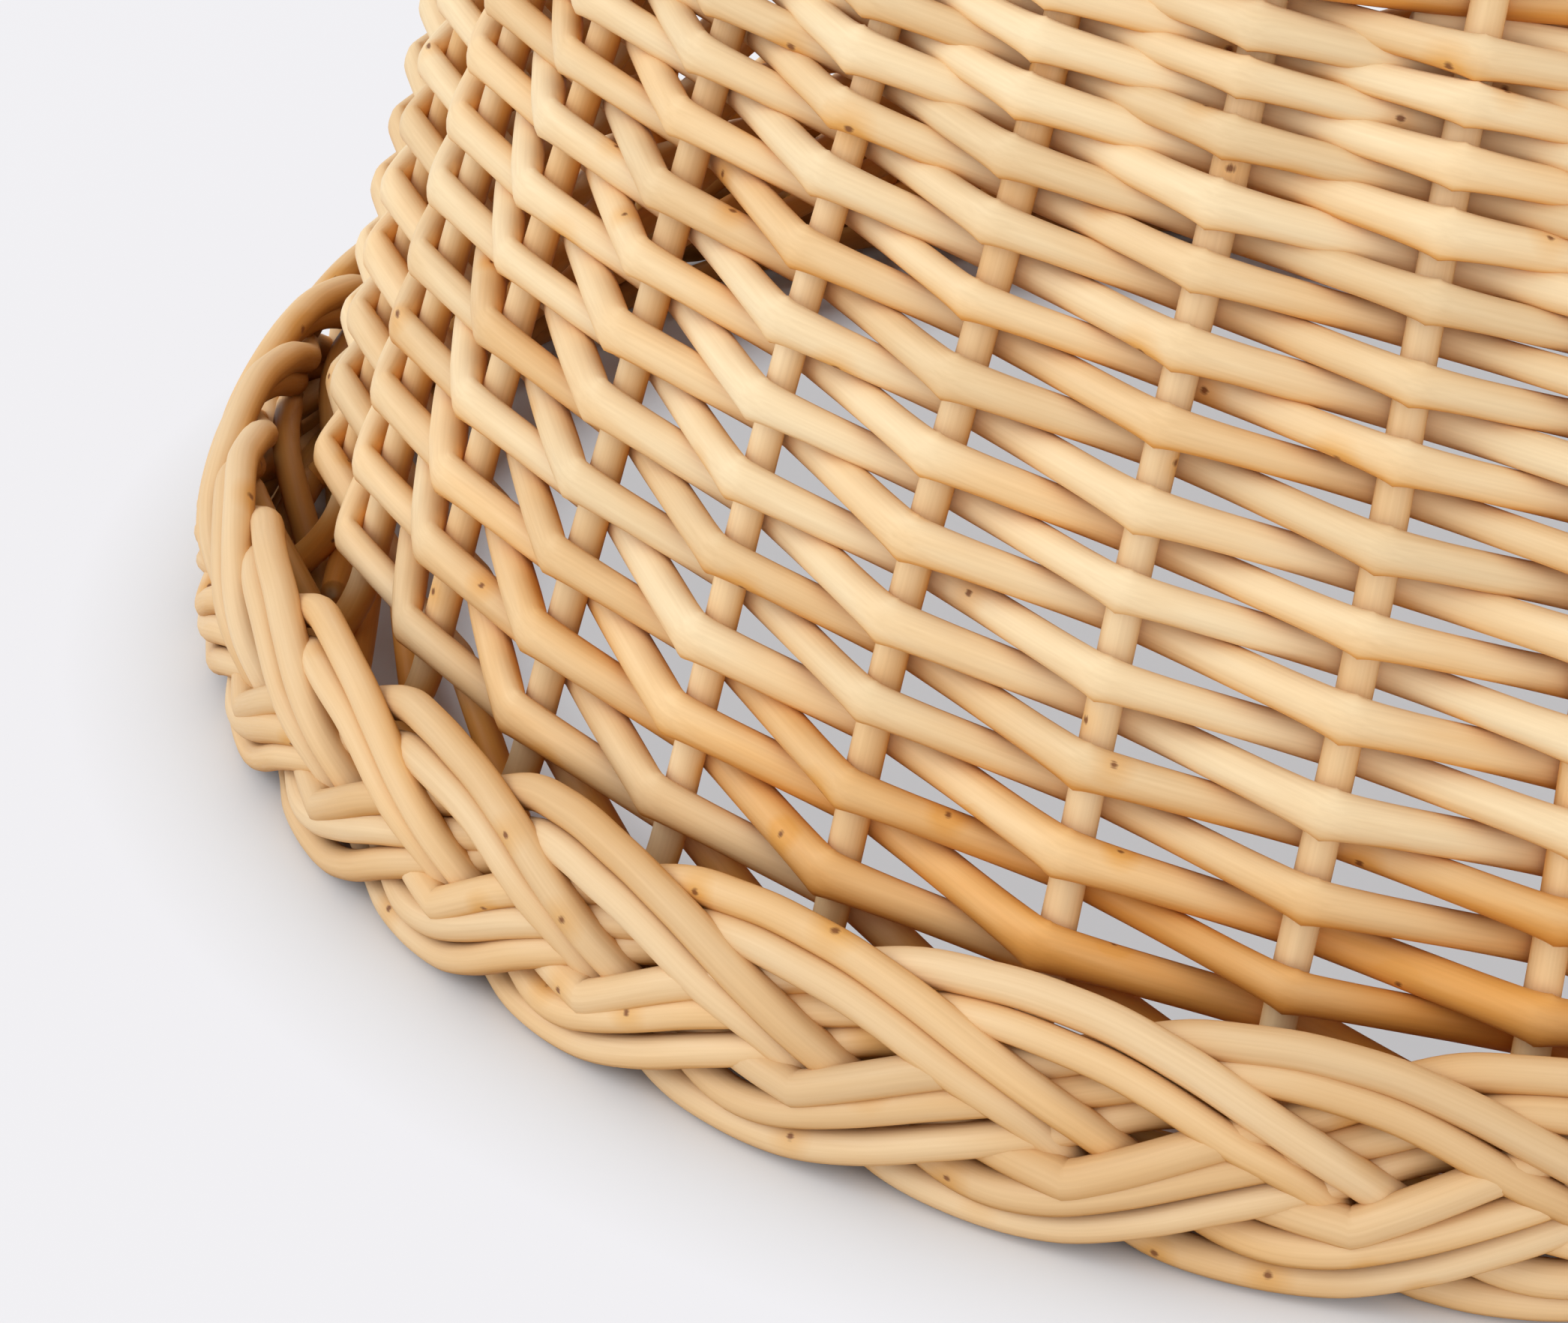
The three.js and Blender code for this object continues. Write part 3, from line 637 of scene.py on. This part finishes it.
crown_willow = willow(
    "crown willow", pale=(0.88, 0.68, 0.425), amber=(0.81, 0.42, 0.115), deep=(0.72, 0.29, 0.05),
)
slath_height = outline(run_at(STICKS_OPEN_AT))[1]
stick_end = crown_edge[0] - CROWN_MARGIN - STICK_SHORT
spoke = np.linspace(stick_end, STICKS_SPREAD_AT, SPOKE_STATIONS)
sticks = []
for heading in (0.0, np.pi / 2):
    for seat in (-1, 0, 1):
        spread = seat * FULL_TURN / SPOKES
        fanned = np.stack([spoke * np.cos(spread), spoke * np.sin(spread)], -1)
        straight = [(STICKS_OPEN_AT, seat * STICK_PITCH), (STICKS_CROSS_AT, seat * STICK_PITCH)]
        half = np.concatenate([fanned, straight])
        flat = kinked(np.concatenate([half, half[::-1] * (-1, 1)]), STICK_STEPS)
        distance = np.hypot(flat[:, 0], flat[:, 1])
        angle = np.arctan2(flat[:, 1], flat[:, 0]) + heading + crown_turn
        height = np.minimum(outline(run_at(np.maximum(distance, STICKS_SPREAD_AT)))[1], slath_height)
        line = np.stack([distance * np.cos(angle), distance * np.sin(angle), height], -1)
        thick = STICK_THICK * chance.uniform(*STICK_SIZES)
        sticks.append(rod(line, UP, thick, chance.uniform(*STICK_TINTS)))
bind("crown_slath", sticks, crown_willow, ["crown_sticks"])

# Crown rounds. Two willow rods take turns from round to round, over one spoke and under the next. They go out over the
# crown from its middle and down the shoulder, where they take up the stakes instead of the spokes.
CROWN_THICK = 4.7
CROWN_TINTS = (0.05, 0.25)
CROWN_PRESS = 0.3
CROWN_WEAVE_START = 36.0
ROUND_PITCH = 5.2
ROUND_STEPS = 12
ROUND_LIFT = 200.0
ABOVE_LAST_ROW = 3.5
weave_start = run_at(CROWN_WEAVE_START)
weave_end = row_run(LAST_ROW) + ABOVE_LAST_ROW
last_round = int((weave_start - weave_end) // ROUND_PITCH)


def crown_stations(run, steps, on_crown, swing):
    """Places where a crown rod passes spokes or stakes, outside them at swing 0 and inside at half a turn."""
    start, core = (crown_turn, STICK_THICK) if on_crown else (WALL_TWIST, STAKE_THICK)
    point, outward, sideways = place(np.full(steps.shape, run), start + STEP * steps)
    reach = (core + CROWN_THICK) / 2 - CROWN_PRESS
    return point + reach * (np.cos(swing)[:, None] * outward - np.sin(swing)[:, None] * sideways)


rounds = []
for first_round in (0, 1):
    parts = []
    for level in range(first_round, last_round + 1, 2):
        run = weave_start + (weave_end - weave_start) * level / last_round
        on_crown = run > edge_run + CROWN_MARGIN
        stride = STAKES_PER_SPOKE if on_crown else 1
        steps = np.arange(0, STAKES, stride)
        shift = first_round if on_crown else 1 - first_round
        swing = np.where((steps // stride + shift) % 2, INSIDE, OUTSIDE)
        parts.append(crown_stations(run, steps, on_crown, swing))
    line = kinked(np.concatenate(parts), ROUND_STEPS)
    rounds.append(rod(line, away_from_middle(line, ROUND_LIFT), CROWN_THICK, chance.uniform(*CROWN_TINTS)))
bind("crown_rounds", rounds, crown_willow, ["crown_weave"])

# Lifting ring. A hoop of three thin rods laid round each other like rope; it goes round the crossed sticks in the
# middle of the crown and stands up through it.
RING_RADIUS = 33.0
RING_STRANDS = 3
RING_STRAND_THICK = 3.7
RING_STRAND_LAY = 1.95
RING_TURNS = 11
RING_ROWS = 361
RING_TINTS = (0, 0.3)
ring_low, ring_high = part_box("lifting_ring")
ring_height = (ring_low.z + ring_high.z) / 2 / MM
ring_heading = np.pi / 4 + crown_turn
around = np.linspace(0, FULL_TURN, RING_ROWS)
hoop = []
for strand in range(RING_STRANDS):
    lay = RING_TURNS * around + FULL_TURN * strand / RING_STRANDS
    reach = RING_RADIUS + RING_STRAND_LAY * np.cos(lay)
    aside = RING_STRAND_LAY * np.sin(lay)
    flat = reach * np.cos(around)
    line = np.stack([
        flat * np.cos(ring_heading) - aside * np.sin(ring_heading),
        flat * np.sin(ring_heading) + aside * np.cos(ring_heading),
        ring_height + reach * np.sin(around),
    ], -1)
    from_middle = line - np.array([0, 0, ring_height])
    hoop.append(rod(line, from_middle, RING_STRAND_THICK, chance.uniform(*RING_TINTS)))
bind("lifting_hoop", hoop, border_willow, ["lifting_ring"])

# Floor. A plain pale sheet that the cloche stands on. The camera sees it even and bright away from the border and an
# even grey under the bell, which is painted shade glowing in place of the bell's real shade, and in its real shade
# close to the border.
FLOOR_SIZE = 40000
SHEET_COLOR = (0.755, 0.785, 0.835, 1)
SHEET_ROUGHNESS = 0.9
SHEET_SHINE = 0.1
UNDER_BELL = (128 * MM, 148 * MM)
OUT_FROM_BORDER = (174 * MM, 203 * MM)
OPEN_TONE = (0.896, 0.887, 0.915, 1)
BELL_SHADE_TONE = (0.62, 0.62, 0.635, 1)
OPEN_SHARE = 0.9
UNDER_SHARE = 0.8
floor_mesh = bpy.data.meshes.new("floor")
corners = np.array([(-1, -1, 0), (1, -1, 0), (1, 1, 0), (-1, 1, 0)]) * FLOOR_SIZE * MM / 2
floor_mesh.from_pydata(corners.tolist(), [], [(0, 1, 2, 3)])
floor = bpy.data.objects.new("floor", floor_mesh)
bpy.context.scene.collection.objects.link(floor)
paper = bpy.data.materials.new("pale sheet")
paper.use_nodes = True
tree = paper.node_tree
surface = tree.nodes["Principled BSDF"]
surface.inputs["Base Color"].default_value = SHEET_COLOR
surface.inputs["Roughness"].default_value = SHEET_ROUGHNESS
surface.inputs["Specular IOR Level"].default_value = SHEET_SHINE
where = tree.nodes.new("ShaderNodeTexCoord")
distance = tree.nodes.new("ShaderNodeVectorMath")
distance.operation = "LENGTH"
link(tree, [(where.outputs["Object"], distance.inputs[0])])
# Painted shade: under the bell the camera sees an even grey glow instead of the floor's real shading
bell_shade = span_node(tree, distance.outputs["Value"], UNDER_BELL, (1, 0))
open_floor = span_node(tree, distance.outputs["Value"], OUT_FROM_BORDER, (0, 1))
even_under = math_node(tree, "MULTIPLY", bell_shade, UNDER_SHARE)
even_outside = math_node(tree, "MULTIPLY", open_floor, OPEN_SHARE)
even_share = math_node(tree, "ADD", even_under, even_outside)
seen = tree.nodes.new("ShaderNodeLightPath")
glow = tree.nodes.new("ShaderNodeEmission")
blend = tree.nodes.new("ShaderNodeMixShader")
link(tree, [
    (mix_node(tree, "MIX", bell_shade, OPEN_TONE, BELL_SHADE_TONE), glow.inputs["Color"]),
    (math_node(tree, "MULTIPLY", seen.outputs["Is Camera Ray"], even_share), blend.inputs[0]),
    (surface.outputs[0], blend.inputs[1]),
    (glow.outputs[0], blend.inputs[2]),
    (blend.outputs[0], tree.nodes["Material Output"].inputs["Surface"]),
])
floor_mesh.materials.append(paper)

# Light. A white room, a broad and slightly cool lamp from the front and left, and a low warm one that fills in from
# the right. A lamp has its name, strength and tint, then its breadth and its turns in degrees.
ROOM_COLOR = (1, 0.97, 0.925, 1)
ROOM_STRENGTH = 0.84
LAMPS = (
    ("broad lamp", 1.0, (0.9, 0.97, 1), 40, (58, 0, -82)),
    ("low fill", 0.66, (1, 0.92, 0.8), 60, (84, 0, 20)),
)
world = bpy.data.worlds.new("white room")
bpy.context.scene.world = world
world.use_nodes = True
room = world.node_tree.nodes["Background"]
room.inputs["Color"].default_value = ROOM_COLOR
room.inputs["Strength"].default_value = ROOM_STRENGTH
for name, strength, tone, breadth, turns in LAMPS:
    lamp_data = bpy.data.lights.new(name, "SUN")
    lamp_data.energy = strength
    lamp_data.color = tone
    lamp_data.angle = np.radians(breadth)
    lamp = bpy.data.objects.new(name, lamp_data)
    bpy.context.scene.collection.objects.link(lamp)
    lamp.rotation_euler = np.radians(turns)

# Camera. It stands close to the left part of the border and looks down at the wall. Its place is given to the right
# of the middle of the border, up from it and back from it, as the camera looks before it is rolled.
FOCAL_PIXELS = 5096.0
IMAGE_WIDTH = 2091.0
SENSOR_WIDTH = 36
NEAREST = 10
LOOK_DOWN = np.radians(27.68)
ROLL = np.radians(3.24)
HEADING = np.radians(1.28)
RIGHTWARDS, UPWARDS, BACKWARDS = -91.6, -10.57, 604.88
right = np.array([np.cos(HEADING), np.sin(HEADING), 0])
ahead = np.array([-np.sin(HEADING), np.cos(HEADING), 0])
forward = ahead * np.cos(LOOK_DOWN) - UP * np.sin(LOOK_DOWN)
up = ahead * np.sin(LOOK_DOWN) + UP * np.cos(LOOK_DOWN)
eye = (RIGHTWARDS * right + UPWARDS * up - BACKWARDS * forward) * MM
rolled_right = np.cos(ROLL) * right + np.sin(ROLL) * up
rolled_up = -np.sin(ROLL) * right + np.cos(ROLL) * up
camera_data = bpy.data.cameras.new("camera")
camera_data.sensor_width = SENSOR_WIDTH
camera_data.lens = SENSOR_WIDTH * FOCAL_PIXELS / IMAGE_WIDTH
camera_data.clip_start = NEAREST * MM
camera = bpy.data.objects.new("camera", camera_data)
bpy.context.scene.collection.objects.link(camera)
axes = np.eye(4)
axes[:3] = np.stack([rolled_right, rolled_up, -forward, eye], -1)
camera.matrix_world = Matrix(axes.tolist())
bpy.context.scene.camera = camera
bpy.context.scene.view_settings.view_transform = "Standard"
